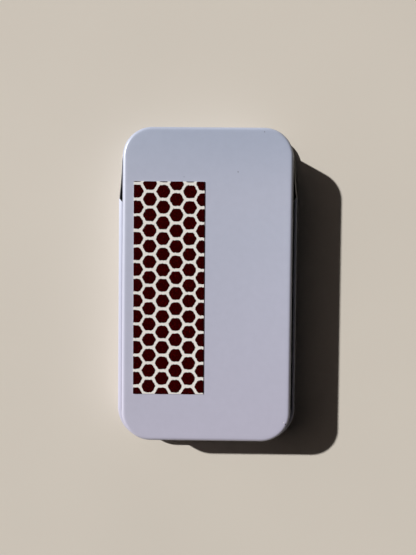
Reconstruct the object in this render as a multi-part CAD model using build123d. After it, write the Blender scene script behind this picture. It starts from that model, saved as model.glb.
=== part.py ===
from build123d import *
import math
import os

# A hinged-lid match tin of drawn tinplate, lying closed on its lid.
# A cut of striking paper is stuck on the flat bottom of the tray, which faces up.
# Units are millimetres. The origin is at the centre of the lid's outer face, on the table.
# +X is across the tin, +Y runs along it to the hinge, +Z is up.

# Driving dimensions of the tin
sheet = 0.25
tray_width = 42.4
tray_length = 78.2
tray_corner = 7.4
tray_edge_radius = 1.0
closed_height = 11.8
lid_margin = 2.2
lid_corner = 8.6
lid_edge_radius = 1.0
lid_skirt_height = 5.4
rim_gap = 0.2

# Hem of the lid's skirt, turned over a tight corner and a nearly flat crown into a small curl
hem_corner_radius = 0.35
hem_crown_radius = 4.0
hem_curl_radius = 0.3

# The skirt sweeps down from the hem's end towards the hinge. Straight behind the tray it is lowest,
# where the tray's rear wall swings over it.
hem_end_from_hinge = 16.0
hem_end_slant = 1.4
drop_length = 10.2
corner_skirt_height = 1.6
rear_skirt_height = 1.2
rear_step_start = 1.25
rear_step_end = 0.45

# Hinge: a straight wire in the tray's rolled rim, held by two tongues of the lid
pin_diameter = 0.6
pin_clearance = 0.04
pin_end_gap = 0.45
tongue_width = 5.0
tongue_spacing = 17.0
tongue_bend_radius = 0.45
window_clearance = 0.3

# Rolled edges, as angles of the sheet's turn in degrees
rim_curl_turn = 285
hem_corner_turn = 70
hem_crown_turn = 6.5
hem_curl_turn = 210
knuckle_turn = 300

# Striking paper, cut by hand from a larger sheet
label_width = 17.5
label_length = 52.7
label_centre_x = -9.47
label_centre_y = -0.82
label_turn = 0.12
adhesive_thickness = 0.05
paper_thickness = 0.12
paper_border = 0.02

# Honeycomb of striking compound printed on the paper, a little out of square with its cut
dot_row_pitch = 3.86
dot_column_pitch = 3.29
dot_gap = 0.74
dot_thickness = 0.05
dot_tip_radius = 0.5
first_dot_x = 3.93
first_dot_y = 0.57
print_turn = -0.22

# Every cut runs past the metal by this much
overrun = 2.0

# Sizes that follow from the driving dimensions
half_width = tray_width / 2
half_length = tray_length / 2
lid_half_width = half_width + lid_margin
lid_half_length = half_length + lid_margin
pin_radius = pin_diameter / 2
bore_radius = pin_radius + pin_clearance
curl_radius = bore_radius + sheet
hinge_y = half_length + bore_radius
hinge_z = sheet + rim_gap + curl_radius
label_base = closed_height
label_top = label_base + adhesive_thickness + paper_thickness

# The hem's three arcs meet smoothly, so each centre lies on the line through the last one
crown_start = math.radians(hem_corner_turn)
crown_end = math.radians(hem_corner_turn + hem_crown_turn)
crown_step = hem_crown_radius - hem_corner_radius
curl_step = hem_crown_radius - hem_curl_radius
crown_centre_out = -hem_corner_radius - crown_step * math.cos(crown_start)
curl_centre_out = crown_centre_out + curl_step * math.cos(crown_end)
crown_centre_up = -crown_step * math.sin(crown_start)
curl_centre_up = crown_centre_up + curl_step * math.sin(crown_end)
hem_width = hem_curl_radius - curl_centre_out
hem_foot = lid_skirt_height - hem_curl_radius - curl_centre_up


def section_rectangle(left, right, bottom, top):
    """A rectangle between two distances outward and two heights."""
    shape = Rectangle(right - left, top - bottom)
    return Pos((left + right) / 2, (bottom + top) / 2) * shape


def section_ring(centre_x, centre_z, outer, start, turn):
    """A strip of sheet bent round a centre, from a start angle through a turn."""
    inner = outer - sheet
    outer_arc = CenterArc((centre_x, centre_z), outer, start, turn)
    inner_arc = CenterArc((centre_x, centre_z), inner, start, turn)
    first_end = Line(inner_arc @ 0, outer_arc @ 0)
    last_end = Line(outer_arc @ 1, inner_arc @ 1)
    return make_face([first_end, outer_arc, last_end, inner_arc])


def carried_round(section, half_x, half_y, corner):
    """Carries a wall section round a rounded rectangle: straight runs and turned corners."""
    run_x = half_x - corner
    run_y = half_y - corner
    upright = Plane.XZ * section
    side = extrude(upright, amount=run_y, dir=(0, 1, 0))
    at_corner = Pos(0, run_y, 0) * upright
    corner_axis = Axis((run_x, run_y, 0), (0, 0, 1))
    turned = revolve(at_corner, axis=corner_axis, revolution_arc=90)
    at_end = at_corner.rotate(corner_axis, 90)
    end = extrude(at_end, amount=run_x, dir=(-1, 0, 0))
    quarter = side + turned + end
    half = quarter + mirror(quarter, about=Plane.YZ)
    return half + mirror(half, about=Plane.XZ)


def flat_panel(half_x, half_y, corner, edge_radius, bottom):
    """The flat of a drawn pan, inside its rounded edge."""
    outline = RectangleRounded(
        2 * (half_x - edge_radius),
        2 * (half_y - edge_radius),
        corner - edge_radius,
    )
    return Pos(0, 0, bottom) * extrude(outline, amount=sheet)


def plan_box(left, right, front, rear, bottom, top):
    """A block between two places on each axis."""
    block = Box(right - left, rear - front, top - bottom)
    return Pos((left + right) / 2, (front + rear) / 2, (bottom + top) / 2) * block


def tongue_centres():
    """The two places of the hinge tongues across the tin."""
    return [-tongue_spacing / 2, tongue_spacing / 2]


def tray_windows():
    """Openings in the tray's rear wall and rim that the lid's tongues move in."""
    reach = math.hypot(lid_half_length - hinge_y, curl_radius)
    top = hinge_z + reach + window_clearance
    half_opening = tongue_width / 2 + window_clearance
    windows = Part()
    for centre in tongue_centres():
        windows += plan_box(
            centre - half_opening,
            centre + half_opening,
            half_length - sheet - overrun,
            half_length + overrun,
            hinge_z - curl_radius - overrun,
            top,
        )
    return windows


def tray_shell():
    """The drawn tray, mouth down, with its rim rolled outwards."""
    edge_centre_x = half_width - tray_edge_radius
    edge_centre_z = closed_height - tray_edge_radius
    wall = section_rectangle(half_width - sheet, half_width, hinge_z, edge_centre_z)
    edge = section_ring(edge_centre_x, edge_centre_z, tray_edge_radius, 0, 90)
    rim = section_ring(half_width + bore_radius, hinge_z, curl_radius, 180, rim_curl_turn)
    shell = carried_round(wall + edge + rim, half_width, half_length, tray_corner)
    shell += flat_panel(half_width, half_length, tray_corner, tray_edge_radius, closed_height - sheet)
    return shell - tray_windows()


def skirt_drop():
    """What is trimmed off the lid's skirt near the hinge, seen from the side."""
    start = half_length - hem_end_from_hinge
    top = lid_skirt_height + overrun
    low_y = start + drop_length
    end_y = lid_half_length + overrun
    sweep = TangentArc((low_y, corner_skirt_height), (start, hem_foot), tangent=(-1, 0))
    rest = Polyline(
        (low_y, corner_skirt_height),
        (lid_half_length - rear_step_start, corner_skirt_height),
        (lid_half_length - rear_step_end, rear_skirt_height),
        (end_y, rear_skirt_height),
        (end_y, top),
        (start, top),
        (start, hem_foot),
    )
    side = Plane.YZ * make_face(sweep + rest)
    return extrude(side, amount=lid_half_width + overrun, both=True)


def hem_trim():
    """What is left unrolled near the hinge: the hem ends slanting in to the front."""
    outer_y = half_length - hem_end_from_hinge
    inner_y = outer_y - hem_end_slant
    outer_x = lid_half_width
    inner_x = lid_half_width - hem_width
    end_y = lid_half_length + overrun
    slope = (outer_y - inner_y) / (outer_x - inner_x)
    past_x = outer_x + overrun
    past_y = outer_y + slope * overrun
    outline = make_face(
        Polyline(
            (-past_x, past_y),
            (-inner_x, inner_y),
            (inner_x, inner_y),
            (past_x, past_y),
            (past_x, end_y),
            (-past_x, end_y),
            close=True,
        )
    )
    return extrude(outline, amount=lid_skirt_height + overrun)


def hem_section():
    """The hem: a tight corner over the skirt, a nearly flat crown and a small curl back under it."""
    corner_x = lid_half_width - hem_corner_radius
    crown_x = lid_half_width + crown_centre_out
    curl_x = lid_half_width + curl_centre_out
    crown_z = hem_foot + crown_centre_up
    curl_z = hem_foot + curl_centre_up
    curl_from = hem_corner_turn + hem_crown_turn
    corner = section_ring(corner_x, hem_foot, hem_corner_radius, 0, hem_corner_turn)
    crown = section_ring(crown_x, crown_z, hem_crown_radius, hem_corner_turn, hem_crown_turn)
    curl = section_ring(curl_x, curl_z, hem_curl_radius, curl_from, hem_curl_turn)
    return corner + crown + curl


def hinge_tongue():
    """A tongue of the lid's rear skirt, bent over and rolled round the hinge wire."""
    strip_top = hinge_z + curl_radius
    bend_y = lid_half_length - tongue_bend_radius
    bend_z = strip_top - tongue_bend_radius
    knuckle = section_ring(hinge_y, hinge_z, curl_radius, 90, knuckle_turn)
    strip = section_rectangle(hinge_y, bend_y, strip_top - sheet, strip_top)
    bend = section_ring(bend_y, bend_z, tongue_bend_radius, 0, 90)
    leg = section_rectangle(lid_half_length - sheet, lid_half_length, lid_edge_radius, bend_z)
    side = Plane.YZ * (knuckle + strip + bend + leg)
    return extrude(side, amount=tongue_width / 2, both=True)


def lid_shell():
    """The drawn lid, lying on its flat face, with its skirt up round the tray."""
    edge_centre_x = lid_half_width - lid_edge_radius
    skirt = section_rectangle(lid_half_width - sheet, lid_half_width, lid_edge_radius, hem_foot)
    edge = section_ring(edge_centre_x, lid_edge_radius, lid_edge_radius, 270, 90)
    pan = carried_round(skirt + edge, lid_half_width, lid_half_length, lid_corner)
    hem = carried_round(hem_section(), lid_half_width, lid_half_length, lid_corner)
    shell = pan - skirt_drop()
    shell += hem - hem_trim()
    shell += flat_panel(lid_half_width, lid_half_length, lid_corner, lid_edge_radius, 0)
    for centre in tongue_centres():
        shell += Pos(centre, 0, 0) * hinge_tongue()
    return shell


def hinge_pin():
    """A straight wire, kept between the corner bends of the tray's rolled rim."""
    half_pin = half_width - tray_corner - pin_end_gap
    wire = Cylinder(pin_radius, 2 * half_pin, rotation=(0, 90, 0))
    return Pos(0, hinge_y, hinge_z) * wire


def on_label(shape, height):
    """Places a piece of the label on the tray's bottom, turned as it was stuck on."""
    return Pos(label_centre_x, label_centre_y, height) * Rot(0, 0, label_turn) * shape


def striker_adhesive():
    """The adhesive film under the striking paper."""
    film = extrude(Rectangle(label_width, label_length), amount=adhesive_thickness)
    return on_label(film, label_base)


def striker_paper():
    """The striking paper's backing."""
    paper = extrude(Rectangle(label_width, label_length), amount=paper_thickness)
    return on_label(paper, label_base + adhesive_thickness)


def dot_outline():
    """One hexagon of striking compound, with points to the sides and soft corners."""
    apothem = (dot_row_pitch - dot_gap) / 2
    hexagon = RegularPolygon(apothem, 6, major_radius=False, rotation=0)
    return fillet(hexagon.vertices(), dot_tip_radius)


def striker_dots():
    """The honeycomb of dots, turned as it was printed and cut through wherever the paper was cut."""
    printed = Rectangle(label_width - 2 * paper_border, label_length - 2 * paper_border)
    columns = math.ceil(label_width / dot_column_pitch) + 1
    rows = math.ceil(label_length / dot_row_pitch) + 1
    left = -label_width / 2 + first_dot_x - dot_column_pitch
    top = label_length / 2 - first_dot_y
    outline = dot_outline()
    dots = Sketch()
    for column in range(columns):
        start = top + (column + 1) % 2 * dot_row_pitch / 2
        for row in range(rows):
            dots += Pos(left + column * dot_column_pitch, start - row * dot_row_pitch) * outline
    cut_dots = Rot(0, 0, print_turn) * dots & printed
    return on_label(extrude(cut_dots, amount=dot_thickness), label_top)


os.makedirs("parts", exist_ok=True)
export_step(lid_shell(), "parts/lid_shell.step")
export_step(tray_shell(), "parts/tray_shell.step")
export_step(hinge_pin(), "parts/hinge_pin.step")
export_step(striker_adhesive(), "parts/striker_adhesive.step")
export_step(striker_paper(), "parts/striker_paper.step")
export_step(striker_dots(), "parts/striker_dots.step")
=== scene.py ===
import math

import bpy
import numpy as np
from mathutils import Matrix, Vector


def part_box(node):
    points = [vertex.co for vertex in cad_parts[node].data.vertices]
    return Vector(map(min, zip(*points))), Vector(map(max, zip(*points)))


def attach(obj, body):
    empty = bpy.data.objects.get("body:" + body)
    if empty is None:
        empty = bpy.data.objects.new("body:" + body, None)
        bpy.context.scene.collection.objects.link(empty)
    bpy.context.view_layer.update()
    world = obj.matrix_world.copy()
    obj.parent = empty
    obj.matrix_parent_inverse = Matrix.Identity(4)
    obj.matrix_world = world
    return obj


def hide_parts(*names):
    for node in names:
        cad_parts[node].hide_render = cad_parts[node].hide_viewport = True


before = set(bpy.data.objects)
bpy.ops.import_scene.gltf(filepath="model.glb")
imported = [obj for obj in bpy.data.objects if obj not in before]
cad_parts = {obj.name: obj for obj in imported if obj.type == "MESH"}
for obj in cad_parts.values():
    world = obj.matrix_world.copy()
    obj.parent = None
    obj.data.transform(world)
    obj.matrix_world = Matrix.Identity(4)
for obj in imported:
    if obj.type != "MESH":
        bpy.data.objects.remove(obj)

bl_info = {
    "name": "Match tin",
    "version": (1, 0, 0),
    "blender": (4, 5, 0),
    "location": "View3D > Sidebar > Match tin",
    "description": "Forms, finishes and stages a slim hinged-lid match tin with a striking label",
    "category": "Object",
}

MM = 0.001
# Places nearer than this count as one, in metres
HAIR = 1e-6
# Stands in for zero in a divisor
LEAST = 1e-12
# A quarter turn
QUARTER = math.pi / 2

# Boxes of the frame's nodes, from which the tin's own sizes follow
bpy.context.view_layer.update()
LID_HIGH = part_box("lid_shell")[1]
TRAY_LOW, TRAY_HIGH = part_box("tray_shell")
PIN_LOW, PIN_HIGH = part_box("hinge_pin")
GLUE_LOW, GLUE_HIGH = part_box("striker_adhesive")
PAPER_LOW, PAPER_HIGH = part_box("striker_paper")
DOTS_LOW, DOTS_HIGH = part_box("striker_dots")
HINGE_Y = (PIN_LOW.y + PIN_HIGH.y) / 2
HINGE_Z = (PIN_LOW.z + PIN_HIGH.z) / 2

# Material slots of a shell's faces
OUTSIDE, INSIDE, CUT_EDGE = 0, 1, 2
# Seeds of the random draws
SEEDS = {"tray": 4, "lid": 9, "dots": 21, "film": 31, "paper": 37}


def linear(hex_colour):
    """An sRGB hex colour as linear red, green and blue."""
    parts = np.array([int(hex_colour[i : i + 2], 16) for i in (0, 2, 4)]) / 255.0
    return tuple(np.where(parts <= 0.04045, parts / 12.92, ((parts + 0.055) / 1.055) ** 2.4))


def number_property(name, description, value, **limits):
    """A number that the user sets."""
    return bpy.props.FloatProperty(name=name, description=description, default=value, **limits)


def vector_property(name, description, value, subtype, **limits):
    """Three numbers that the user sets."""
    return bpy.props.FloatVectorProperty(
        name=name, description=description, default=value, size=3, subtype=subtype, **limits
    )


def length_property(name, description, millimetres):
    """A length that the user sets, given here in millimetres."""
    return number_property(
        name, description, millimetres * MM, min=0.0, precision=5, unit="LENGTH"
    )


def angle_property(name, description, degrees):
    """An angle that the user sets, given here in degrees."""
    return number_property(name, description, math.radians(degrees), subtype="ANGLE")


def strength_property(name, description, value):
    """A light's strength that the user sets."""
    return number_property(name, description, value, min=0.0, max=20.0, precision=4)


def colour_property(name, description, hex_colour):
    """A colour that the user sets, given here as sRGB hex."""
    return vector_property(name, description, linear(hex_colour), "COLOR", min=0.0, max=1.0)


class MatchTinSheetSizes(bpy.types.PropertyGroup):
    """Sizes of the two drawn shells and their hinge"""

    sheet: length_property("Sheet", "Thickness of the tinplate", 0.25)
    tray_corner: length_property("Tray corner", "Plan radius of the tray's corners", 7.4)
    tray_edge: length_property("Tray edge", "Radius where the tray's flat turns into its wall", 1.0)
    lid_edge: length_property("Lid edge", "Radius where the lid's flat turns into its skirt", 1.0)
    lid_margin: length_property("Lid margin", "How far the lid stands outside the tray", 2.2)
    lid_corner: length_property("Lid corner", "Plan radius of the lid's corners", 8.6)
    hem_corner: length_property("Hem corner", "Radius of the skirt's turn into the hem", 0.35)
    hem_crown: length_property("Hem crown", "Radius of the hem's nearly flat top", 4.0)
    hem_curl: length_property("Hem curl", "Radius of the hem's inner curl", 0.3)
    corner_skirt: length_property("Corner skirt", "Height of the skirt round the rear corners", 1.6)
    rear_skirt: length_property("Rear skirt", "Height of the skirt straight behind the tray", 1.2)
    rear_step: length_property("Rear step", "Where the skirt steps down, from the lid's rear", 1.25)
    rear_step_end: length_property("Rear step end", "Where it ends, from the lid's rear", 0.45)
    hem_end: length_property("Hem end", "Distance of the hem's end from the tray's rear wall", 16.0)
    hem_slant: length_property("Hem slant", "How far the hem's end slants in to the front", 1.4)
    hem_stagger: length_property("Hem stagger", "How much sooner the left side's hem ends", 0.55)
    slow_drop: length_property("Slow drop", "How much longer the left skirt's sweep is", 5.2)
    drop: length_property("Drop", "Length of the skirt's sweep down from the hem's end", 10.2)
    pin_clearance: length_property("Wire clearance", "Room round the hinge wire", 0.04)
    tongue: length_property("Tongue", "Width of each hinge tongue", 5.0)
    tongue_spacing: length_property("Tongue spacing", "Distance between the tongues' middles", 17.0)
    tongue_bend: length_property("Tongue bend", "Radius of the tongue's bend over the skirt", 0.45)
    window: length_property("Window clearance", "Room round a tongue in the tray's wall", 0.3)
    sag: length_property("Sag", "How far each large flat is drawn in at its middle", 0.35)
    rim_turn: angle_property("Rim turn", "Turn of the tray's rolled rim", 285)
    hem_corner_turn: angle_property("Hem corner turn", "Turn of the hem's tight corner", 70)
    hem_crown_turn: angle_property("Hem crown turn", "Turn of the hem's nearly flat top", 8.2)
    hem_turn: angle_property("Hem turn", "Turn of the hem's inner curl", 210)
    knuckle_turn: angle_property("Knuckle turn", "Turn of a tongue round the wire", 300)


class MatchTinLabelSizes(bpy.types.PropertyGroup):
    """Sizes of the striking label and its printed dots"""

    width: length_property("Width", "Width of the striking label", 17.5)
    length: length_property("Length", "Length of the striking label", 52.7)
    border: length_property("Border", "Paper that shows outside the cut dots", 0.02)
    cut_wander: length_property("Cut wander", "How far the cut wanders along the paper", 0.01)
    row_pitch: length_property("Row pitch", "Distance of the dots along a column", 3.86)
    column_pitch: length_property("Column pitch", "Distance between the dots' columns", 3.29)
    gap: length_property("Gap", "Paper that shows between two dots' flat sides", 0.70)
    first_x: length_property("First column", "First whole column, from the left cut", 3.93)
    first_y: length_property("First row", "First row, from the rear cut", 0.57)
    ragged: length_property("Ragged", "How far the print's edge wanders on each dot", 0.09)
    turn: angle_property("Turn", "How far the label was turned when it was stuck on", 0.12)
    print_turn: angle_property("Print turn", "How far the print is turned from the cut", -0.22)


class MatchTinFinish(bpy.types.PropertyGroup):
    """Colours of the tin's finishes"""

    enamel: colour_property("Enamel", "Baked enamel outside", "B0B3C3")
    # Painted shade and painted cool reflection: the enamel is darker and bluer near the hinge
    enamel_rear: colour_property("Rear enamel", "Cooler enamel near the hinge", "A4ABBD")
    enamel_front: colour_property("Front enamel", "Warmer enamel at the front", "B5B2C2")
    bared: colour_property("Bared metal", "Primer and steel where the enamel is chipped", "3A3433")
    fleck: colour_property("Fleck", "Pale rim where the enamel has cracked off", "C6C5CC")
    tinplate: colour_property("Tinplate", "Lacquered tinplate inside", "A8A5A0")
    cut_steel: colour_property("Cut steel", "Sheared edge of the sheet", "8F8C88")
    wire: colour_property("Wire", "Drawn steel wire", "A6A6A4")
    glue: colour_property("Glue", "Acrylic adhesive film", "D8D2BE")
    paper: colour_property("Paper", "Uncoated label paper", "E1DDD6")
    striker: colour_property("Striker", "Striking compound", "240000")
    grit: colour_property("Grit", "Grit in the striking compound", "6A0405")


class MatchTinStage(bpy.types.PropertyGroup):
    """Floor, light and camera"""

    floor: colour_property("Floor", "Plain pale floor", "CCC4B8")
    backdrop: colour_property("Backdrop", "Pale walls beyond the floor", "DAD5CC")
    ceiling: colour_property("Ceiling", "Dark ceiling of the studio", "2C2E33")
    sun_run: vector_property(
        "Sun run",
        "How the light runs over the floor for each unit that it falls",
        (1.3655, -0.7415, -1.0),
        "DIRECTION",
    )
    sun_angle: angle_property("Sun angle", "Softness of the main light", 1.2)
    sun_strength: strength_property("Sun strength", "Strength of the main light", 5.4)
    soft_colour: colour_property("Soft light", "Colour of the large soft light", "FFECE6")
    soft_angle: angle_property("Soft angle", "Width of the large soft light", 60)
    soft_strength: strength_property("Soft strength", "Strength of the large soft light", 0.33)
    fill_strength: strength_property("Fill strength", "Strength of walls and ceiling", 0.03)
    lens: number_property("Lens", "Focal length of the camera", 27.05, min=1.0, unit="CAMERA")
    camera_place: vector_property(
        "Camera",
        "Place of the camera over the tin",
        (0.00091, 0.00412, 0.11494),
        "TRANSLATION",
        unit="LENGTH",
    )
    camera_turn: vector_property(
        "Camera turn",
        "Tilt and turn of the camera",
        tuple(math.radians(a) for a in (-1.214, 0.381, 0.55)),
        "EULER",
        unit="ROTATION",
    )


def stations(marks, step):
    """Places along a run: every mark, and even steps no longer than step between two marks."""
    pairs = zip(marks[:-1], marks[1:])
    parts = [np.linspace(a, b, max(1, math.ceil((b - a) / step)), endpoint=False) for a, b in pairs]
    return np.append(np.concatenate(parts), marks[-1])


# Longest step along a straight side, and steps round a plan corner
SIDE_STEP = 1.3 * MM
ARC_STEPS = 22


def outline(half_x, half_y, corner, rear_marks, side_marks=()):
    """Points and outward normals round a rounded rectangle, anticlockwise from the right side.

    A straight run has stations at its marks, and a corner is its centre plus the radius times
    (cos a, sin a) over a quarter turn.
    """
    centre = np.array([half_x - corner, half_y - corner])
    side_y = stations([-centre[1], *side_marks, centre[1]], SIDE_STEP)
    rear_x = stations([-centre[0], *rear_marks, centre[0]], SIDE_STEP)
    front_x = stations([-centre[0], centre[0]], SIDE_STEP)
    turn = np.linspace(0.0, QUARTER, ARC_STEPS + 1)[1:-1]
    points, normals = [], []
    runs = (
        (np.stack([np.full_like(side_y, half_x), side_y], 1), (1.0, 0.0), (1.0, 1.0)),
        (np.stack([rear_x[::-1], np.full_like(rear_x, half_y)], 1), (0.0, 1.0), (-1.0, 1.0)),
        (np.stack([np.full_like(side_y, -half_x), side_y[::-1]], 1), (-1.0, 0.0), (-1.0, -1.0)),
        (np.stack([front_x, np.full_like(front_x, -half_y)], 1), (0.0, -1.0), (1.0, -1.0)),
    )
    for corner_number, (run, normal, sign) in enumerate(runs):
        angle = turn + corner_number * QUARTER
        arc = np.stack([np.cos(angle), np.sin(angle)], 1)
        points += [run, centre * sign + corner * arc]
        normals += [np.tile(normal, (len(run), 1)), arc]
    return np.concatenate(points), np.concatenate(normals)


def wall_rows(points, normals, offsets, heights):
    """Rows round the outline: each point moved out along its normal by an offset, at a height."""
    offsets = np.broadcast_to(offsets, (len(offsets), len(points)))
    heights = np.broadcast_to(heights, offsets.shape)
    plan = points[None] + offsets[:, :, None] * normals[None]
    return np.dstack([plan, heights])


def panel_rows(edge, shares, height):
    """Rows of a flat: the line from its middle spine to its edge, cut at the given shares.

    The spine lies along Y and is as long as the flat is longer than it is wide.
    """
    spine_half = edge[:, 1].max() - edge[:, 0].max()
    spine = np.stack([np.zeros(len(edge)), np.clip(edge[:, 1], -spine_half, spine_half)], 1)
    plan = spine[None] + np.asarray(shares)[:, None, None] * (edge - spine)[None]
    return np.dstack([plan, np.full(plan.shape[:2], height)])


def bend(centre_out, centre_up, radius, start, turn, steps):
    """Offsets and heights along an arc: centre plus radius times (cos a, sin a)."""
    angle = start + turn * np.linspace(0.0, 1.0, steps + 1)
    return centre_out + radius * np.cos(angle), centre_up + radius * np.sin(angle)


def full_turn(count):
    """Even angles round a full turn."""
    return np.linspace(0.0, 2 * math.pi, count + 1)[:-1]


def grid_quads(rows, columns, keep=None, flip=False):
    """Corners of a grid's cells, or of those kept. The grid closes on itself along its rows."""
    row, column = np.nonzero(np.ones((rows - 1, columns), bool) if keep is None else keep)
    after = (column + 1) % columns
    quads = np.stack(
        [
            row * columns + column,
            (row + 1) * columns + column,
            (row + 1) * columns + after,
            row * columns + after,
        ],
        1,
    )
    return quads[:, ::-1] if flip else quads


def weld(points, quads):
    """Joins points in one place and splits off the quads that became triangles."""
    grain = 1e-7
    _, first, joined = np.unique(
        np.round(points / grain).astype(np.int64), axis=0, return_index=True, return_inverse=True
    )
    quads = joined.reshape(-1)[quads]
    same = quads == np.roll(quads, -1, axis=1)
    count = same.sum(1)
    used = np.unique(quads[count < 2])
    renumber = np.full(len(first), -1)
    renumber[used] = np.arange(len(used))
    triangles = quads[count == 1][~same[count == 1]].reshape(-1, 3)
    return first[used], renumber[quads[count == 0]], renumber[triangles]


def unit(vectors):
    """Vectors scaled to length one. One without length stays as it is."""
    return vectors / np.maximum(np.linalg.norm(vectors, axis=1, keepdims=True), LEAST)


def point_normals(points, quads, triangles):
    """The mean of the faces' normals at each point, each a cross product of diagonals or sides."""
    total = np.zeros_like(points)
    for faces, ends in ((quads, (0, 2, 1, 3)), (triangles, (0, 1, 0, 2))):
        a, b, c, d = (points[faces[:, end]] for end in ends)
        normal = np.cross(b - a, d - c)
        for corner in range(faces.shape[1]):
            np.add.at(total, faces[:, corner], normal)
    return unit(total)


def free_edges(quads, triangles, count):
    """The directed edges that only one face uses."""
    kinds = (quads, triangles)
    edges = np.concatenate(
        [np.stack([faces, np.roll(faces, -1, axis=1)], 2).reshape(-1, 2) for faces in kinds]
    )
    forward = edges[:, 0] * count + edges[:, 1]
    backward = edges[:, 1] * count + edges[:, 0]
    return edges[~np.isin(forward, backward)]


def thicken(points, quads, triangles, thickness, lip_share=0.3):
    """Gives a middle surface the sheet's thickness and closes its free edges with a rounded lip.

    Both sides are the middle surface plus and minus half the thickness along its normal. The lip's
    crest lies beyond the edge by a share of the thickness, along the edge's direction crossed with
    the normal.
    """
    count = len(points)
    normal = point_normals(points, quads, triangles)
    rim = free_edges(quads, triangles, count)
    outward = np.zeros_like(points)
    if len(rim):
        along = unit(points[rim[:, 1]] - points[rim[:, 0]])
        for end in range(2):
            np.add.at(outward, rim[:, end], np.cross(along, normal[rim[:, end]]))
        outward = unit(outward)
    half = thickness / 2
    crest = points + outward * thickness * lip_share
    all_points = np.concatenate([points + normal * half, points - normal * half, crest])
    a, b = rim[:, 0], rim[:, 1]
    upper_lip = np.stack([b, a, a + 2 * count, b + 2 * count], 1)
    lower_lip = np.stack([b + 2 * count, a + 2 * count, a + count, b + count], 1)
    faces = [
        (quads, OUTSIDE),
        (triangles, OUTSIDE),
        (quads[:, ::-1] + count, INSIDE),
        (triangles[:, ::-1] + count, INSIDE),
        (upper_lip, CUT_EDGE),
        (lower_lip, CUT_EDGE),
    ]
    return all_points, faces


# Edges between faces that turn by more than this stay sharp
SHARP = math.radians(40)


def add_piece(name, points, faces, materials, body, wear=None):
    """Puts points and faces into a new mesh object, smooth but for edges sharper than an angle."""
    used = np.unique(np.concatenate([face.ravel() for face, _ in faces]))
    renumber = np.full(len(points), -1)
    renumber[used] = np.arange(len(used))
    corners = sum((renumber[face].tolist() for face, _ in faces), [])
    mesh = bpy.data.meshes.new(name)
    mesh.from_pydata(points[used].tolist(), [], corners)
    slots = np.concatenate([np.full(len(face), slot) for face, slot in faces]).astype(np.int32)
    mesh.polygons.foreach_set("material_index", slots)
    for material in materials:
        mesh.materials.append(material)
    if wear is not None:
        attribute = mesh.attributes.new("bend", "FLOAT", "POINT")
        attribute.data.foreach_set("value", wear[used].astype(np.float32))
    mesh.shade_smooth()
    mesh.set_sharp_from_angle(angle=SHARP)
    mesh.update()
    piece = bpy.data.objects.new(name, mesh)
    bpy.context.scene.collection.objects.link(piece)
    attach(piece, body)
    return piece


def add_solid(name, points, quads, recipe):
    """Joins closed grids into a piece of one material that swings with the tray."""
    kept, quads, triangles = weld(points, quads)
    faces = [(quads, OUTSIDE), (triangles, OUTSIDE)]
    return add_piece(name, points[kept], faces, [made_once(recipe)], "tray")


# Shallow swells in each large flat
SWELLS = 3


def flat_sag(x, y, half_x, half_y, depth, seed):
    """How far a large flat is drawn in: a broad bowl and a few shallow swells.

    The bowl is depth times (1 - u^2) (1 - v^2) over the flat's half sizes, and each swell is a
    small bell curve under the same bowl.
    """
    u = np.clip(np.abs(x) / half_x, 0.0, 1.0)
    v = np.clip(np.abs(y) / half_y, 0.0, 1.0)
    bowl = (1.0 - u**2) * (1.0 - v**2)
    random = np.random.RandomState(seed)
    swell = np.zeros_like(x)
    for _ in range(SWELLS):
        centre = random.uniform(-0.6, 0.6, 2) * (half_x, half_y)
        size = random.uniform(0.25, 0.45) * half_x
        distance = np.hypot(x - centre[0], y - centre[1])
        swell += random.uniform(0.05, 0.12) * np.exp(-((distance / size) ** 2))
    return depth * bowl * (1.0 + swell)


def tray_flat_sag(x, y):
    """The drop of the tray's flat bottom, which the label follows."""
    sizes = bpy.context.scene.match_tin_sheet
    flat_half = (half - sizes.tray_edge for half in tray_half_sizes(sizes))
    return flat_sag(x, y, *flat_half, sizes.sag, SEEDS["tray"])


def pin_radius():
    """Radius of the hinge wire, from the frame."""
    return (PIN_HIGH.z - PIN_LOW.z) / 2


def bore_radius(sizes):
    """Inner radius of the rolled rim and knuckles round the wire."""
    return pin_radius() + sizes.pin_clearance


def tray_half_sizes(sizes):
    """Half the tray's outer width and length: the frame's box less the rolled rim."""
    rim = 2 * bore_radius(sizes) + sizes.sheet
    return TRAY_HIGH.x - rim, -TRAY_LOW.y - rim


def tongue_marks(sizes, room):
    """Places across the tin where the two tongues, or their windows, begin and end."""
    near = sizes.tongue_spacing / 2 - sizes.tongue / 2 - room
    far = sizes.tongue_spacing / 2 + sizes.tongue / 2 + room
    return np.array([-far, -near, near, far])


def between_marks(middle_x, marks):
    """Which places lie within one of the two tongues' widths."""
    place = np.abs(middle_x)
    return (place > marks[2]) & (place < marks[3])


def hem_profile(sizes, steps):
    """Offsets and heights of the hem over its foot: a tight corner, a nearly flat crown and a curl.

    The three arcs meet smoothly: each centre lies on the line through the last one, by the
    difference of the two radii.
    """
    half = sizes.sheet / 2
    radii = (sizes.hem_corner, sizes.hem_crown, sizes.hem_curl)
    turns = (sizes.hem_corner_turn, sizes.hem_crown_turn, sizes.hem_turn)
    centre = np.array([-sizes.hem_corner, 0.0])
    start, last = 0.0, sizes.hem_corner
    parts = []
    for radius, turn, count in zip(radii, turns, steps):
        centre = centre - (radius - last) * np.array([math.cos(start), math.sin(start)])
        parts.append(np.stack(bend(*centre, radius - half, start, turn, count))[:, 1:])
        start, last = start + turn, radius
    return np.concatenate(parts, axis=1), centre


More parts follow.
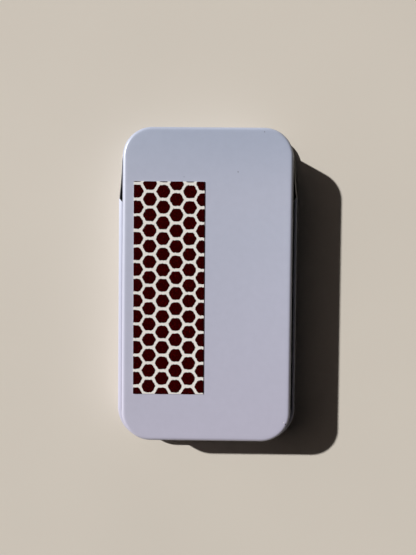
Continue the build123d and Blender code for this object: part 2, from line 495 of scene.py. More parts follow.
def skirt_heights(sizes, y, hem_end, drop, foot, rear):
    """Height of the skirt's top edge at places along Y.

    It sweeps down from the hem's foot on an arc that is level at its low end, c + r - sqrt(r^2 -
    (low - y)^2) with r = (drop^2 + fall^2) / (2 fall), runs level at the corner height c, and steps
    down to the rear height.
    """
    fall = foot - sizes.corner_skirt
    radius = (drop**2 + fall**2) / (2 * fall)
    left = np.clip(hem_end + drop - y, 0.0, drop)
    sweep = sizes.corner_skirt + radius - np.sqrt(radius**2 - left**2)
    step = [rear - sizes.rear_step, rear - sizes.rear_step_end]
    return np.where(y < step[0], sweep, np.interp(y, step, [sizes.corner_skirt, sizes.rear_skirt]))


# Where a flat's rows lie between its spine and its edge
PANEL_SHARES = (0.0, 0.12, 0.25, 0.38, 0.5, 0.62, 0.73, 0.82, 0.89, 0.94, 0.975)
# Steps round a rounded edge, the rim, and the hem's corner, crown and curl
BEND_STEPS = 10
RIM_STEPS = 26
HEM_STEPS = (7, 5, 22)
# Longest step up the tray's wall
WALL_STEP = 0.9 * MM
# Steps up the lid's skirt, over a tongue's bend and along its flat
SKIRT_STEPS = 8
OVER_STEPS = 6
STRIP_STEPS = 4
# The hem's end slants over this length
SLANT_RUN = 6 * MM
# Wear of the hem's crown beside that of a rounded edge
CROWN_WEAR = 0.7


def wear_of_rows(rows, crest=()):
    """Wear of a grid's rows: a half sine over the rounded edge, and the crest on the last rows."""
    wear = np.zeros(rows)
    edge = np.sin(np.linspace(0, math.pi, BEND_STEPS + 1))
    wear[len(PANEL_SHARES) : len(PANEL_SHARES) + len(edge)] = edge
    wear[rows - len(crest) :] = crest
    return wear


def form_tray():
    """The tray: a flat, a rounded edge, a wall with two windows, and a rim rolled outwards.

    One profile is carried round the outline. Cells of the grid that lie in a window are left out.
    """
    sizes = bpy.context.scene.match_tin_sheet
    half_x, half_y = tray_half_sizes(sizes)
    sheet, edge = sizes.sheet, sizes.tray_edge
    top = TRAY_HIGH.z
    bore = bore_radius(sizes)
    reach = math.hypot(half_y + sizes.lid_margin - HINGE_Y, bore + sheet)
    window_top = HINGE_Z + reach + sizes.window

    marks = tongue_marks(sizes, sizes.window)
    points, normals = outline(half_x, half_y, sizes.tray_corner, marks)

    edge_out, edge_up = bend(-edge, top - edge, edge - sheet / 2, QUARTER, -QUARTER, BEND_STEPS)
    wall_up = stations([HINGE_Z, window_top, top - edge], WALL_STEP)[::-1][1:]
    wall_out = np.full(len(wall_up), -sheet / 2)
    rim_out, rim_up = bend(bore, HINGE_Z, bore + sheet / 2, math.pi, sizes.rim_turn, RIM_STEPS)
    offsets = np.concatenate([edge_out, wall_out, rim_out[1:]])
    heights = np.concatenate([edge_up, wall_up, rim_up[1:]])
    wall = wall_rows(points, normals, offsets[:, None], heights[:, None])
    flat = panel_rows(wall[0, :, :2], PANEL_SHARES, top - sheet / 2)
    grid = np.concatenate([flat, wall])
    sag = tray_flat_sag(grid[:, :, 0], grid[:, :, 1])
    grid[:, :, 2] -= np.where(grid[:, :, 2] > top - sheet, sag, 0.0)

    middle = (grid + np.roll(grid, -1, axis=1)) / 2
    at_rear = middle[-1, :, 1] > half_y - sheet
    in_window = between_marks(middle[len(PANEL_SHARES), :, 0], marks) & at_rear
    low = (grid[1:, 0, 2] + grid[:-1, 0, 2]) / 2 < window_top
    keep = ~(low[:, None] & in_window[None])
    finish_shell("tray_pan", grid, keep, False, wear_of_rows(len(grid)), "tray_shell", "tray")


def form_lid():
    """The lid: a flat, a rounded edge, a skirt that drops to the hinge, and a hem turned inwards.

    One profile is carried round the outline. Beyond the skirt's edge the grid holds the hem, or at
    the hinge the two tongues. Its other cells are left out.
    """
    sizes = bpy.context.scene.match_tin_sheet
    half_x, half_y = LID_HIGH.x, LID_HIGH.y
    sheet, edge = sizes.sheet, sizes.lid_edge
    hem, curl_centre = hem_profile(sizes, HEM_STEPS)
    hem_foot = LID_HIGH.z - curl_centre[1] - sizes.hem_curl
    hem_width = sizes.hem_curl - curl_centre[0]
    bore = bore_radius(sizes)
    hinge_out = HINGE_Y - half_y
    strip_up = HINGE_Z + bore + sheet / 2
    bend_up = HINGE_Z + bore + sheet - sizes.tongue_bend
    right_end = half_y - sizes.lid_margin - sizes.hem_end
    left_end = right_end - sizes.hem_stagger

    side_marks = (left_end - SLANT_RUN, left_end, right_end)
    rear_marks = tongue_marks(sizes, 0.0)
    points, normals = outline(half_x, half_y, sizes.lid_corner, rear_marks, side_marks)
    on_left = points[:, 0] < 0
    hem_end = np.where(on_left, left_end, right_end)
    drop = np.where(on_left, sizes.drop + sizes.slow_drop, sizes.drop)
    on_rear = normals[:, 1] > 1.0 - HAIR
    from_tongue = np.abs(np.abs(points[:, 0]) - sizes.tongue_spacing / 2)
    in_tongue = on_rear & (from_tongue < sizes.tongue / 2 + HAIR)
    skirt_top = skirt_heights(sizes, points[:, 1], hem_end, drop, hem_foot, half_y)
    skirt_top = np.where(in_tongue, bend_up, skirt_top)

    edge_out, edge_up = bend(-edge, edge, edge - sheet / 2, -QUARTER, QUARTER, BEND_STEPS)
    low_wall = wall_rows(points, normals, edge_out[:, None], edge_up[:, None])
    rise = np.linspace(0.0, 1.0, SKIRT_STEPS + 1)[1:, None]
    skirt_up = edge + rise * (skirt_top[None] - edge)
    skirt = wall_rows(points, normals, np.full_like(rise, -sheet / 2), skirt_up)

    steps = hem.shape[1]
    over_radius = sizes.tongue_bend - sheet / 2
    over = bend(-sizes.tongue_bend, bend_up, over_radius, 0.0, QUARTER, OVER_STEPS)
    strip_out = np.linspace(-sizes.tongue_bend, hinge_out, STRIP_STEPS + 1)[1:]
    roll_steps = steps - OVER_STEPS - STRIP_STEPS
    roll = bend(hinge_out, HINGE_Z, bore + sheet / 2, QUARTER, sizes.knuckle_turn, roll_steps)
    tongue_out = np.concatenate([over[0], strip_out, roll[0][1:]])
    tongue_up = np.concatenate([over[1], np.full(STRIP_STEPS, strip_up), roll[1][1:]])
    beyond_out = np.where(in_tongue[None], tongue_out[1:, None], hem[0][:, None])
    beyond_up = np.where(in_tongue[None], tongue_up[1:, None], hem_foot + hem[1][:, None])
    beyond = wall_rows(points, normals, beyond_out, beyond_up)
    near_end = np.clip((points[:, 1] - hem_end) / SLANT_RUN + 1.0, 0.0, 1.0) ** 2
    near_end = np.where(on_rear, 0.0, near_end)
    inward = -hem[0][:, None] / hem_width
    beyond[:, :, 1] -= sizes.hem_slant * inward * near_end[None]

    flat = panel_rows(low_wall[0, :, :2], PANEL_SHARES, sheet / 2)
    grid = np.concatenate([flat, low_wall, skirt, beyond])
    flat_half = (half_x - edge, half_y - edge)
    sag = flat_sag(grid[:, :, 0], grid[:, :, 1], *flat_half, sizes.sag, SEEDS["lid"])
    grid[:, :, 2] += np.where(grid[:, :, 2] < sheet, sag, 0.0)

    rows, columns = grid.shape[:2]
    following = np.roll(points, -1, axis=0)
    hemmed = (points[:, 1] < hem_end + HAIR) & (following[:, 1] < hem_end + HAIR)
    tongued = in_tongue & np.roll(in_tongue, -1) & (points[:, 0] * following[:, 0] > 0)
    keep = np.ones((rows - 1, columns), bool)
    keep[rows - 1 - steps :] = hemmed | tongued
    crest = CROWN_WEAR * np.sin(np.linspace(0, math.pi, steps))
    finish_shell("lid_pan", grid, keep, True, wear_of_rows(rows, crest), "lid_shell", "lid")


def finish_shell(name, grid, keep, flip, wear_rows, node, body):
    """Welds a shell's grid, gives it the sheet's thickness and its finishes, and seats it."""
    sizes = bpy.context.scene.match_tin_sheet
    rows, columns = grid.shape[:2]
    points = grid.reshape(-1, 3)
    wear = np.repeat(wear_rows, columns)
    kept, quads, triangles = weld(points, grid_quads(rows, columns, keep, flip))
    wear = np.tile(wear[kept], 3)
    solid_points, faces = thicken(points[kept], quads, triangles, sizes.sheet)
    materials = [made_once(recipe) for recipe in (baked_enamel, lacquered_tinplate, sheared_steel)]
    piece = add_piece(name, solid_points, faces, materials, body, wear=wear)
    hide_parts(node)


# Points along the wire and round it
WIRE_STATIONS = 24
WIRE_SIDES = 48


def draw_wire():
    """The hinge wire: a line of constant radius turned about its axis, with small chamfers."""
    radius = pin_radius()
    crop = 0.12 * radius
    left, right = PIN_LOW.x, PIN_HIGH.x
    body = np.linspace(left + crop, right - crop, WIRE_STATIONS)
    along = np.concatenate([[left, left], body, [right, right]])
    out = np.concatenate([[0.0, radius - crop], np.full(len(body), radius), [radius - crop, 0.0]])
    angle = full_turn(WIRE_SIDES)
    across = HINGE_Y + out[:, None] * np.cos(angle)[None]
    up = HINGE_Z + out[:, None] * np.sin(angle)[None]
    points = np.dstack([np.repeat(along[:, None], len(angle), axis=1), across, up]).reshape(-1, 3)
    quads = grid_quads(len(along), len(angle), flip=True)
    piece = add_solid("hinge_wire", points, quads, drawn_wire)
    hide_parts("hinge_pin")


def turned(x, y, turn):
    """Places turned about the origin: (x cos t - y sin t, x sin t + y cos t)."""
    return x * math.cos(turn) - y * math.sin(turn), x * math.sin(turn) + y * math.cos(turn)


def on_label(x, y):
    """Label places as tin places: turned about the label's middle and moved there."""
    x, y = turned(x, y, bpy.context.scene.match_tin_label.turn)
    return (PAPER_LOW.x + PAPER_HIGH.x) / 2 + x, (PAPER_LOW.y + PAPER_HIGH.y) / 2 + y


# Waves of a cut's wander over half its length
CUT_WAVES = (1.7, 3.1, 5.9, 11.3, 23.7)


def wander(places, amount, seed):
    """A slow random line along a cut: a sum of sines with falling size."""
    random = np.random.RandomState(seed)
    total = np.zeros_like(places)
    for wave in CUT_WAVES:
        size = amount / math.sqrt(wave)
        total += size * np.sin(2 * math.pi * wave * places + random.uniform(0, 2 * math.pi))
    return total


# Points across and along a sheet of the label
SHEET_STATIONS = (46, 130)
# How far the adhesive film stops short of the paper's edge
FILM_INSET = 0.02 * MM


def lay_sheet(name, low_z, high_z, inset, material, node, slot_name, seed):
    """A thin sheet of the label: a rectangle with slightly wandering cuts, on the tray's flat."""
    label = bpy.context.scene.match_tin_label
    u, v = (np.linspace(-1.0, 1.0, count) for count in SHEET_STATIONS)
    half_x, half_y = label.width / 2 - inset, label.length / 2 - inset
    reach_x = half_x - label.cut_wander - np.abs(wander(v, label.cut_wander, seed))
    reach_y = half_y - label.cut_wander - np.abs(wander(u, label.cut_wander, seed + 1))
    x, y = on_label(u[:, None] * reach_x[None], v[None] * reach_y[:, None])
    z = (low_z + high_z) / 2 - tray_flat_sag(x, y)
    points = np.dstack([x, y, z]).reshape(-1, 3)
    keep = np.ones((len(u) - 1, len(v)), bool)
    keep[:, -1] = False
    kept, quads, triangles = weld(points, grid_quads(len(u), len(v), keep))
    solid_points, faces = thicken(points[kept], quads, triangles, high_z - low_z, lip_share=0.1)
    faces = [(face, OUTSIDE) for face, _ in faces]
    piece = add_piece(name, solid_points, faces, [material], "tray")
    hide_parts(node)


def dot_places(label):
    """Middles of the dots: columns a pitch apart, every other one half a row up, as printed."""
    columns = np.arange(math.ceil(label.width / label.column_pitch) + 1)
    rows = np.arange(math.ceil(label.length / label.row_pitch) + 1)
    column, row = np.meshgrid(columns, rows, indexing="ij")
    x = -label.width / 2 + label.first_x + (column - 1) * label.column_pitch
    y = label.length / 2 - label.first_y - row * label.row_pitch
    y = y + np.where(column % 2 == 0, label.row_pitch / 2, 0.0)
    return turned(x.ravel(), y.ravel(), label.print_turn)


# Points round a dot, and where its rows lie between its middle and its outline, and how high
DOT_SIDES = 72
DOT_SHARES = np.array([0.0, 0.35, 0.7, 0.88, 0.96, 1.0, 1.0, 0.0])
DOT_LIFTS = np.array([1.0, 1.0, 0.98, 0.9, 0.66, 0.3, 0.0, 0.0])
# How far a dot is printed off its place
DOT_DRIFT = 0.012 * MM
# How far a dot's side is turned, in radians, and moved, as a share of its distance
SIDE_TURN = 0.02
SIDE_SHIFT = 0.012
# A cut dot is drawn from a middle at least this far inside the cuts
DOT_INSET = 0.015 * MM
# The power that rounds a hexagon's corners, and the waves that roughen its outline
HEXAGON_POWER = 12.0
PRINT_WAVES = (7, 11, 16, 23, 31)


def dot_radii(label, apothem, shift_x, shift_y, angle, random):
    """Distances from each dot's drawn middle to its outline at the given angles.

    The radius is the soft least of the six sides' distances, (sum of side distance to the power -p)
    to the power -1/p, roughened by a sum of sines.
    """
    count = len(shift_x)
    glance = 1e-3
    total = np.zeros((count, len(angle)))
    for side in range(6):
        skew = random.normal(0.0, SIDE_TURN, count)[:, None]
        facing = math.radians(30 + 60 * side) + label.print_turn + skew
        room = apothem * (1 + random.normal(0.0, SIDE_SHIFT, count)[:, None])
        room = room - shift_x * np.cos(facing) - shift_y * np.sin(facing)
        toward = np.cos(angle)[None] * np.cos(facing) + np.sin(angle)[None] * np.sin(facing)
        total += np.where(toward > glance, np.maximum(toward, glance) / room, 0.0) ** HEXAGON_POWER
    radius = total ** (-1.0 / HEXAGON_POWER)
    for wave in PRINT_WAVES:
        phase = random.uniform(0.0, 2 * math.pi, count)[:, None]
        size = label.ragged * 0.45 * random.uniform(0.4, 1.0, count)[:, None]
        radius = radius + size * np.sin(wave * angle[None] + phase)
    return radius


def print_dots():
    """The honeycomb of striking compound: low domes whose outline is a soft, ragged hexagon.

    The dome's rows are its middle plus shares of the outline's radius, each at its own height, and
    the outline is cut hard by the label's four cuts.
    """
    label = bpy.context.scene.match_tin_label
    x, y = dot_places(label)
    edge_x = label.width / 2 - label.border
    edge_y = label.length / 2 - label.border
    apothem = (label.row_pitch - label.gap) / 2
    start_x = np.clip(x, -edge_x + DOT_INSET, edge_x - DOT_INSET)
    start_y = np.clip(y, -edge_y + DOT_INSET, edge_y - DOT_INSET)
    seen = (np.abs(x - start_x) < apothem) & (np.abs(y - start_y) < apothem - DOT_INSET)
    x, y = x[seen], y[seen]
    start_x, start_y = start_x[seen][:, None], start_y[seen][:, None]
    random = np.random.RandomState(SEEDS["dots"])
    count = len(x)
    x = x + random.normal(0.0, DOT_DRIFT, count)
    y = y + random.normal(0.0, DOT_DRIFT, count)

    angle = full_turn(DOT_SIDES)
    radius = dot_radii(label, apothem, start_x - x[:, None], start_y - y[:, None], angle, random)
    cuts = []
    for start, edge, along in ((start_x, edge_x, np.cos(angle)), (start_y, edge_y, np.sin(angle))):
        cuts += [(edge - start * sign) / np.maximum(along * sign, HAIR) for sign in (1, -1)]
    radius = np.minimum.reduce([radius, *cuts])

    reach = radius[:, None] * DOT_SHARES[None, :, None]
    plan_x, plan_y = on_label(
        start_x[:, None] + reach * np.cos(angle), start_y[:, None] + reach * np.sin(angle)
    )
    low, high = DOTS_LOW.z, DOTS_HIGH.z
    plan_z = low + (high - low) * DOT_LIFTS[None, :, None] - tray_flat_sag(plan_x, plan_y)
    points = np.stack([plan_x, plan_y, plan_z], -1).reshape(-1, 3)
    rows = len(DOT_SHARES)
    first = np.arange(count) * rows * DOT_SIDES
    quads = (grid_quads(rows, DOT_SIDES)[None] + first[:, None, None]).reshape(-1, 4)
    piece = add_solid("striker_honeycomb", points, quads, striking_compound)
    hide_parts("striker_dots")


def per_metre(millimetres):
    """The pattern scale that gives features of about this size on Object coordinates."""
    return 1.0 / (millimetres * MM)


def rgba(colour, level=1.0):
    """A colour property with full alpha, darkened to a level."""
    return (*(level * c for c in colour), 1.0)


def add_node(tree, kind, inputs=None, result=None, **settings):
    """Adds a node with its settings, sets or links its inputs, and returns one of its outputs.

    An input or output goes by its name or identifier. With no result named it is the first output.
    """
    node = tree.nodes.new("ShaderNode" + kind)
    for name, value in settings.items():
        setattr(node, name, value)
    for name, value in (inputs or {}).items():
        socket = next(s for s in node.inputs if s.enabled and name in (s.identifier, s.name))
        if isinstance(value, bpy.types.NodeSocket):
            tree.links.new(value, socket)
        else:
            socket.default_value = value
    outputs = (s for s in node.outputs if s.enabled)
    return next((s for s in outputs if result in (None, s.identifier, s.name)), None)


def toned(tree, pattern, low, high, first, second, most=1.0, **settings):
    """Goes from a first tone towards a second as a pattern's value goes from low to high.

    The second tone's share grows from nothing up to most.
    """
    share = {"Value": pattern, "From Min": low, "From Max": high, "To Max": most}
    share = add_node(tree, "MapRange", share, **settings)
    tones = {"Factor_Float": share, "A_Color": first, "B_Color": second}
    return add_node(tree, "Mix", tones, "Result_Color", data_type="RGBA")


def made_once(recipe):
    """The material of a recipe, which adds its nodes and returns what the shader's inputs get."""
    material = bpy.data.materials.get(recipe.__name__)
    if material is None:
        material = bpy.data.materials.new(recipe.__name__)
        material.use_nodes = True
        tree = material.node_tree
        tree.nodes.clear()
        where = add_node(tree, "TexCoord", result="Object")
        inputs = recipe(tree, where, bpy.context.scene)
        surface = add_node(tree, "BsdfPrincipled", inputs)
        add_node(tree, "OutputMaterial", {"Surface": surface})
    return material


# Chips in the enamel: place on the tin and size in millimetres, and the colour that shows
CHIPS = (
    ((13.8, 37.8, 11.8), 0.10, "bared"),
    ((7.4, 28.0, 11.7), 0.12, "bared"),
    ((-5.9, 26.7, 11.7), 0.10, "bared"),
    ((19.35, -34.0, 11.7), 0.22, "fleck"),
    ((19.85, -34.45, 11.6), 0.24, "bared"),
)
# Painted shade along the right hem, in the gap beside the tray where shade falls, in millimetres:
# the axis, the band's middle, and how far from the middle it is still full and where it has ended
HEM_PAINTED_SHADE = (("X", 22.2, 0.42, 0.6), ("Y", -5.0, 27.0, 30.0), ("Z", 5.4, 0.9, 1.2))
# Painted shade on the inside of the lid's long walls, in the gap beside the tray: how far from the
# tin's middle it begins and is full
WALL_PAINTED_SHADE = (22.2 * MM, 22.8 * MM)


def baked_enamel(tree, where, scene):
    """Pale lavender-grey enamel, roller coated on tinplate and baked.

    It gives the eye a satin sheet with a faint orange peel, a broad soft highlight on each bend and
    a few small chips. Its colour holds painted shade: darker and bluer near the hinge, a painted
    cool reflection too, and nearly black in the gap at the right hem.
    """
    finish = scene.match_tin_finish
    # Painted shade and painted cool reflection: the colour turns darker and bluer towards the
    # hinge, and a little warmer towards the front
    along = add_node(tree, "SeparateXYZ", {"Vector": where}, "Y")
    tones = (rgba(finish.enamel), rgba(finish.enamel_rear))
    colour = toned(tree, along, 20 * MM, 41 * MM, *tones, interpolation_type="SMOOTHSTEP")
    colour = toned(tree, along, 12 * MM, -38 * MM, colour, rgba(finish.enamel_front))
    mottle = {"Vector": where, "Scale": per_metre(1.6), "Detail": 3.0, "Roughness": 0.6}
    mottle = add_node(tree, "TexNoise", mottle)
    shade = {"Value": mottle, "From Min": 0.3, "From Max": 0.7, "To Min": 0.985, "To Max": 1.015}
    shade = add_node(tree, "MapRange", shade)
    colour = add_node(tree, "VectorMath", {"Vector": colour, "Scale": shade}, operation="SCALE")

    # Painted shade: nearly black enamel in the gap beside the tray's right side, on the inner third
    # of the hem
    gap_shade = 1.0
    for axis, middle, near, far in HEM_PAINTED_SHADE:
        away = add_node(tree, "SeparateXYZ", {"Vector": where}, axis)
        away = {"Value": away, "Value_001": middle * MM}
        away = add_node(tree, "Math", away, operation="SUBTRACT")
        away = add_node(tree, "Math", {"Value": away}, operation="ABSOLUTE")
        inside = {"Value": away, "From Min": far * MM, "From Max": near * MM}
        inside = add_node(tree, "MapRange", inside)
        gap_shade = {"Value": gap_shade, "Value_001": inside}
        gap_shade = add_node(tree, "Math", gap_shade, operation="MULTIPLY")
    tones = {"Factor_Float": gap_shade, "A_Color": colour, "B_Color": rgba(finish.enamel, 0.04)}
    colour = add_node(tree, "Mix", tones, "Result_Color", data_type="RGBA")

    # A chip's outline wanders by about a third of its size
    crumbs = add_node(tree, "TexNoise", {"Vector": where, "Scale": per_metre(0.25), "Detail": 3.0})
    chipped = 0.0
    for middle, size, tone in CHIPS:
        middle = tuple(MM * c for c in middle)
        gap = {"Vector": where, "Vector_001": middle}
        gap = add_node(tree, "VectorMath", gap, "Value", operation="DISTANCE")
        gap = {"Value": crumbs, "Value_001": 0.7 * size * MM, "Value_002": gap}
        gap = add_node(tree, "Math", gap, operation="MULTIPLY_ADD")
        chip = {"Value": gap, "From Min": 1.45 * size * MM, "From Max": 1.2 * size * MM}
        chip = add_node(tree, "MapRange", chip)
        tones = {"Factor_Float": chip, "A_Color": colour, "B_Color": rgba(getattr(finish, tone))}
        colour = add_node(tree, "Mix", tones, "Result_Color", data_type="RGBA")
        chipped = add_node(tree, "Math", {"Value": chipped, "Value_001": chip}, operation="MAXIMUM")

    # Bends are rubbed through in a few specks
    bends = add_node(tree, "Attribute", result="Fac", attribute_name="bend")
    rub = {"Vector": where, "Scale": per_metre(0.9), "Detail": 5.0, "Roughness": 0.65}
    rub = add_node(tree, "TexNoise", rub)
    rub = add_node(tree, "Math", {"Value": bends, "Value_001": rub}, operation="MULTIPLY")
    rub = add_node(tree, "MapRange", {"Value": rub, "From Min": 0.7, "From Max": 0.73})
    tones = {"Factor_Float": rub, "A_Color": colour, "B_Color": rgba(finish.bared)}
    colour = add_node(tree, "Mix", tones, "Result_Color", data_type="RGBA")

    peel = add_node(tree, "TexNoise", {"Vector": where, "Scale": per_metre(0.7), "Detail": 1.0})
    level = add_node(tree, "Bump", {"Height": peel, "Distance": 0.002 * MM})
    worn = add_node(tree, "Math", {"Value": chipped, "Value_001": rub}, operation="MAXIMUM")
    dent = {"Height": worn, "Distance": 0.03 * MM, "Normal": level}
    level = add_node(tree, "Bump", dent, invert=True)
    cloud = add_node(tree, "TexNoise", {"Vector": where, "Scale": per_metre(6.0), "Detail": 3.0})
    rough = {"Value": cloud, "From Min": 0.3, "From Max": 0.7, "To Min": 0.3, "To Max": 0.38}
    rough = add_node(tree, "MapRange", rough)
    return {"Base Color": colour, "Roughness": rough, "IOR": 1.5, "Normal": level}


def lacquered_tinplate(tree, where, scene):
    """Cold-rolled steel plated with tin and rolled with a clear lacquer.

    It gives the eye a grey metal with fine streaks along the rolling direction and a faint warm
    cloudiness of the lacquer. Along the inside of the lid's long walls it is painted nearly black,
    a painted shade.
    """
    tin = scene.match_tin_finish.tinplate
    # Rolling streaks about 0.1 mm wide and 8 mm long
    rolled = add_node(tree, "Mapping", {"Vector": where, "Scale": (1.0, 0.0125, 1.0)})
    streak = {"Vector": rolled, "Scale": per_metre(0.1), "Detail": 3.0, "Roughness": 0.6}
    streak = add_node(tree, "TexNoise", streak)
    colour = toned(tree, streak, 0.3, 0.7, rgba(tin, 0.82), rgba(tin))
    cloud = add_node(tree, "TexNoise", {"Vector": where, "Scale": per_metre(9.0), "Detail": 3.0})
    warm = (tin[0], 0.97 * tin[1], 0.9 * tin[2], 1.0)
    colour = toned(tree, cloud, 0.4, 0.75, colour, warm, 0.6)
    across = add_node(tree, "SeparateXYZ", {"Vector": where}, "X")
    across = add_node(tree, "Math", {"Value": across}, operation="ABSOLUTE")
    # Painted shade: nearly black tinplate in the gap along the lid's long walls
    colour = toned(tree, across, *WALL_PAINTED_SHADE, colour, rgba(tin, 0.08))
    rough = {"Value": streak, "From Min": 0.3, "From Max": 0.7, "To Min": 0.3, "To Max": 0.44}
    rough = add_node(tree, "MapRange", rough)
    level = add_node(tree, "Bump", {"Height": streak, "Distance": 0.0012 * MM})
    return {"Base Color": colour, "Metallic": 1.0, "Roughness": rough, "Normal": level}


def sheared_steel(tree, where, scene):
    """The sheet's cut edge: sheared mild steel, which the eye sees dull and a little torn."""
    steel = scene.match_tin_finish.cut_steel
    grain = {"Vector": where, "Scale": per_metre(0.12), "Detail": 4.0, "Roughness": 0.65}
    grain = add_node(tree, "TexNoise", grain)
    colour = toned(tree, grain, 0.35, 0.65, rgba(steel, 0.55), rgba(steel))
    rough = {"Value": grain, "From Min": 0.3, "From Max": 0.7, "To Min": 0.38, "To Max": 0.6}
    rough = add_node(tree, "MapRange", rough)
    return {"Base Color": colour, "Metallic": 1.0, "Roughness": rough}


def drawn_wire(tree, where, scene):
    """Bright drawn steel wire: a clean metal line, with die lines along its length."""
    wire = scene.match_tin_finish.wire
    # Die lines about 0.05 mm apart round the wire and 6 mm long
    drawn = add_node(tree, "Mapping", {"Vector": where, "Scale": (0.008, 1.0, 1.0)})
    lines = add_node(tree, "TexNoise", {"Vector": drawn, "Scale": per_metre(0.05)})
    colour = toned(tree, lines, 0.35, 0.65, rgba(wire, 0.6), rgba(wire))
    rough = {"Value": lines, "From Min": 0.3, "From Max": 0.7, "To Min": 0.22, "To Max": 0.38}
    rough = add_node(tree, "MapRange", rough)
    level = add_node(tree, "Bump", {"Height": lines, "Distance": 0.001 * MM})
    return {"Base Color": colour, "Metallic": 1.0, "Roughness": rough, "Normal": level}


def acrylic_glue(tree, where, scene):
    """A coated film of acrylic adhesive: slightly yellow and smooth, with faint coating streaks."""
    glue = scene.match_tin_finish.glue
    # Coating streaks about 0.4 mm wide and 8 mm long
    coated = add_node(tree, "Mapping", {"Vector": where, "Scale": (1.0, 0.05, 1.0)})
    streak = add_node(tree, "TexNoise", {"Vector": coated, "Scale": per_metre(0.4)})
    colour = toned(tree, streak, 0.35, 0.65, rgba(glue, 0.88), rgba(glue))
    return {"Base Color": colour, "Roughness": 0.3, "IOR": 1.48}


def uncoated_paper(tree, where, scene):
    """Uncoated label paper: off-white and matt, with a fine tooth of fibres and soft cloudiness."""
    paper = scene.match_tin_finish.paper
    # Paper fibres are about 0.03 mm wide: drawn at 0.25 mm, so that they show
    fibre = {"Vector": where, "Scale": per_metre(0.25), "Detail": 4.0, "Roughness": 0.7}
    fibre = add_node(tree, "TexNoise", fibre)
    colour = toned(tree, fibre, 0.3, 0.7, rgba(paper, 0.84), rgba(paper, 1.07))
    cloud = add_node(tree, "TexNoise", {"Vector": where, "Scale": per_metre(1.8)})
    colour = toned(tree, cloud, 0.4, 0.7, colour, rgba(paper), 0.35)
    level = add_node(tree, "Bump", {"Height": fibre, "Distance": 0.01 * MM})
    return {"Base Color": colour, "Roughness": 0.88, "IOR": 1.47, "Normal": level}


def striking_compound(tree, where, scene):
    """Red phosphorus and fine glass grit in a binder, screen printed and dried.

    It gives the eye a nearly black maroon, dead matt and sandy, with a few reddish grains.
    """
    finish = scene.match_tin_finish
    cloud = {"Vector": where, "Scale": per_metre(0.5), "Detail": 4.0, "Roughness": 0.6}
    cloud = add_node(tree, "TexNoise", cloud)
    thick = add_node(tree, "MapRange", {"Value": cloud, "From Min": 0.35, "From Max": 0.65})
    # Grit is about 0.1 mm: drawn at 0.3 mm, so that it shows
    grains = add_node(tree, "TexVoronoi", {"Vector": where, "Scale": per_metre(0.3)}, "Distance")
    grains = add_node(tree, "MapRange", {"Value": grains, "From Min": 0.45, "From Max": 0.0})
    lit = add_node(tree, "Math", {"Value": grains, "Value_001": thick}, operation="MULTIPLY")
    tones = {"Factor_Float": lit, "A_Color": rgba(finish.striker), "B_Color": rgba(finish.grit)}
    colour = add_node(tree, "Mix", tones, "Result_Color", data_type="RGBA")
    sand = {"Vector": where, "Scale": per_metre(0.11), "Detail": 3.0, "Roughness": 0.7}
    sand = add_node(tree, "TexNoise", sand)
    level = add_node(tree, "Bump", {"Height": sand, "Distance": 0.015 * MM})
    rough = {"Value": cloud, "From Min": 0.3, "From Max": 0.7, "To Min": 0.8, "To Max": 0.95}
    rough = add_node(tree, "MapRange", rough)
    surface = {"Base Color": colour, "Roughness": rough, "IOR": 1.5, "Normal": level}
    surface["Specular IOR Level"] = 0.01
    return surface


def painted_board(tree, where, scene):
    """The floor: a smooth board painted a warm off-white, with the faintest roller cloud."""
    paint = scene.match_tin_stage.floor
    cloud = add_node(tree, "TexNoise", {"Vector": where, "Scale": per_metre(60.0)})
    colour = toned(tree, cloud, 0.3, 0.7, rgba(paint, 0.97), rgba(paint))
    return {"Base Color": colour, "Roughness": 0.85, "IOR": 1.45, "Specular IOR Level": 0.2}


def lay_floor():
    """One large flat square under the tin."""
    half, drop = 6.0, 0.02 * MM
    corners = [(x * half, y * half, -drop) for x, y in ((-1, -1), (1, -1), (1, 1), (-1, 1))]
    mesh = bpy.data.meshes.new("floor")
    mesh.from_pydata(corners, [], [(0, 1, 2, 3)])
    mesh.materials.append(made_once(painted_board))
    floor = bpy.data.objects.new("floor", mesh)
    bpy.context.scene.collection.objects.link(floor)


def hang_lights():
    """The main light and a large soft one behind it, and a faint fill from walls and ceiling."""
    stage = bpy.context.scene.match_tin_stage
    lights = (
        ("main_light", stage.sun_strength, stage.sun_angle, (1.0, 1.0, 1.0)),
        ("soft_light", stage.soft_strength, stage.soft_angle, stage.soft_colour),
    )
    for name, strength, angle, colour in lights:
        lamp = bpy.data.lights.new(name, "SUN")
        lamp.energy = strength
        lamp.angle = angle
        lamp.color = colour
        light = bpy.data.objects.new(name, lamp)
        light.rotation_euler = Vector(stage.sun_run).to_track_quat("-Z", "Y").to_euler()
        bpy.context.scene.collection.objects.link(light)
    world = bpy.data.worlds.new("studio")
    world.use_nodes = True
    tree = world.node_tree
    tree.nodes.clear()
    seen = add_node(tree, "LightPath", result="Is Camera Ray")
    for kind in ("Is Glossy Ray", "Is Transmission Ray"):
        rays = {"Value": seen, "Value_001": add_node(tree, "LightPath", result=kind)}
        seen = add_node(tree, "Math", rays, operation="MAXIMUM")
    strength = add_node(tree, "MapRange", {"Value": seen, "To Min": stage.fill_strength})
    upward = add_node(tree, "TexCoord", result="Generated")
    upward = add_node(tree, "SeparateXYZ", {"Vector": upward}, "Z")
    tones = (rgba(stage.backdrop), rgba(stage.ceiling))
    colour = toned(tree, upward, 0.3, 0.6, *tones, interpolation_type="SMOOTHSTEP")
    shown = add_node(tree, "Background", {"Color": colour, "Strength": strength})
    add_node(tree, "OutputWorld", {"Surface": shown})
    bpy.context.scene.world = world


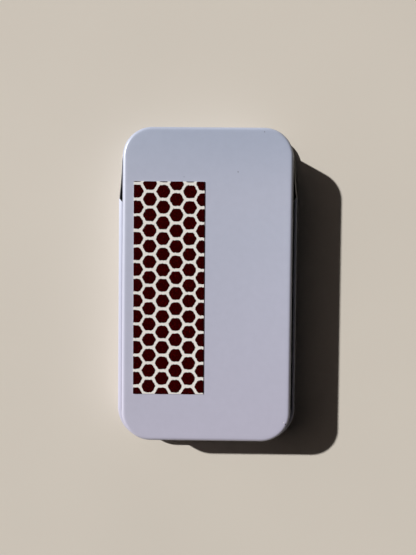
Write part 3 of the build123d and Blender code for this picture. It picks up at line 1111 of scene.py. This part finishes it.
def place_camera():
    """The camera over the tin, as the photograph was taken."""
    stage = bpy.context.scene.match_tin_stage
    lens = bpy.data.cameras.new("camera")
    lens.lens = stage.lens
    lens.clip_start = MM
    camera = bpy.data.objects.new("camera", lens)
    camera.location = stage.camera_place
    camera.rotation_euler = stage.camera_turn
    bpy.context.scene.collection.objects.link(camera)
    bpy.context.scene.camera = camera


class MATCHTIN_OT_tray(bpy.types.Operator):
    """Form the tray with its rolled rim and hinge windows"""

    bl_idname = "match_tin.tray"
    bl_label = "Form the tray"

    def execute(self, context):
        form_tray()
        return {"FINISHED"}


class MATCHTIN_OT_lid(bpy.types.Operator):
    """Form the lid with its hem, its dropping skirt and its hinge tongues"""

    bl_idname = "match_tin.lid"
    bl_label = "Form the lid"

    def execute(self, context):
        form_lid()
        return {"FINISHED"}


class MATCHTIN_OT_wire(bpy.types.Operator):
    """Draw the hinge wire"""

    bl_idname = "match_tin.wire"
    bl_label = "Draw the hinge wire"

    def execute(self, context):
        draw_wire()
        return {"FINISHED"}


class MATCHTIN_OT_label(bpy.types.Operator):
    """Lay the label's adhesive film and its paper"""

    bl_idname = "match_tin.label"
    bl_label = "Stick on the label"

    def execute(self, context):
        film = (GLUE_LOW.z, GLUE_HIGH.z, FILM_INSET, made_once(acrylic_glue))
        lay_sheet("label_film", *film, "striker_adhesive", "adhesive_film", SEEDS["film"])
        paper = (PAPER_LOW.z, PAPER_HIGH.z, 0.0, made_once(uncoated_paper))
        lay_sheet("label_paper", *paper, "striker_paper", "striker_paper", SEEDS["paper"])
        return {"FINISHED"}


class MATCHTIN_OT_dots(bpy.types.Operator):
    """Print the honeycomb of striking compound"""

    bl_idname = "match_tin.dots"
    bl_label = "Print the striker"

    def execute(self, context):
        print_dots()
        return {"FINISHED"}


class MATCHTIN_OT_stage(bpy.types.Operator):
    """Lay the floor and set the light and the camera"""

    bl_idname = "match_tin.stage"
    bl_label = "Set the stage"

    def execute(self, context):
        lay_floor()
        hang_lights()
        place_camera()
        context.scene.view_settings.view_transform = "Standard"
        return {"FINISHED"}


STEPS = ("tray", "lid", "wire", "label", "dots", "stage")


class MATCHTIN_PT_panel(bpy.types.Panel):
    """The steps that make the tin, and its sizes and colours"""

    bl_idname = "MATCHTIN_PT_panel"
    bl_label = "Match tin"
    bl_space_type = "VIEW_3D"
    bl_region_type = "UI"
    bl_category = "Match tin"

    def draw(self, context):
        layout = self.layout
        for step in STEPS:
            layout.operator("match_tin." + step)
        for group in GROUPS:
            box = layout.box()
            settings = getattr(context.scene, group)
            for name in settings.__annotations__:
                box.prop(settings, name)


GROUPS = {
    "match_tin_sheet": MatchTinSheetSizes,
    "match_tin_label": MatchTinLabelSizes,
    "match_tin_finish": MatchTinFinish,
    "match_tin_stage": MatchTinStage,
}

CLASSES = (
    *GROUPS.values(),
    MATCHTIN_OT_tray,
    MATCHTIN_OT_lid,
    MATCHTIN_OT_wire,
    MATCHTIN_OT_label,
    MATCHTIN_OT_dots,
    MATCHTIN_OT_stage,
    MATCHTIN_PT_panel,
)


def register():
    for kind in CLASSES:
        bpy.utils.register_class(kind)
    for name, kind in GROUPS.items():
        setattr(bpy.types.Scene, name, bpy.props.PointerProperty(type=kind))


def unregister():
    for name in GROUPS:
        delattr(bpy.types.Scene, name)
    for kind in reversed(CLASSES):
        bpy.utils.unregister_class(kind)


def main():
    """Makes the whole tin step by step."""
    register()
    for step in STEPS:
        getattr(bpy.ops.match_tin, step)()


if __name__ == "__main__":
    main()
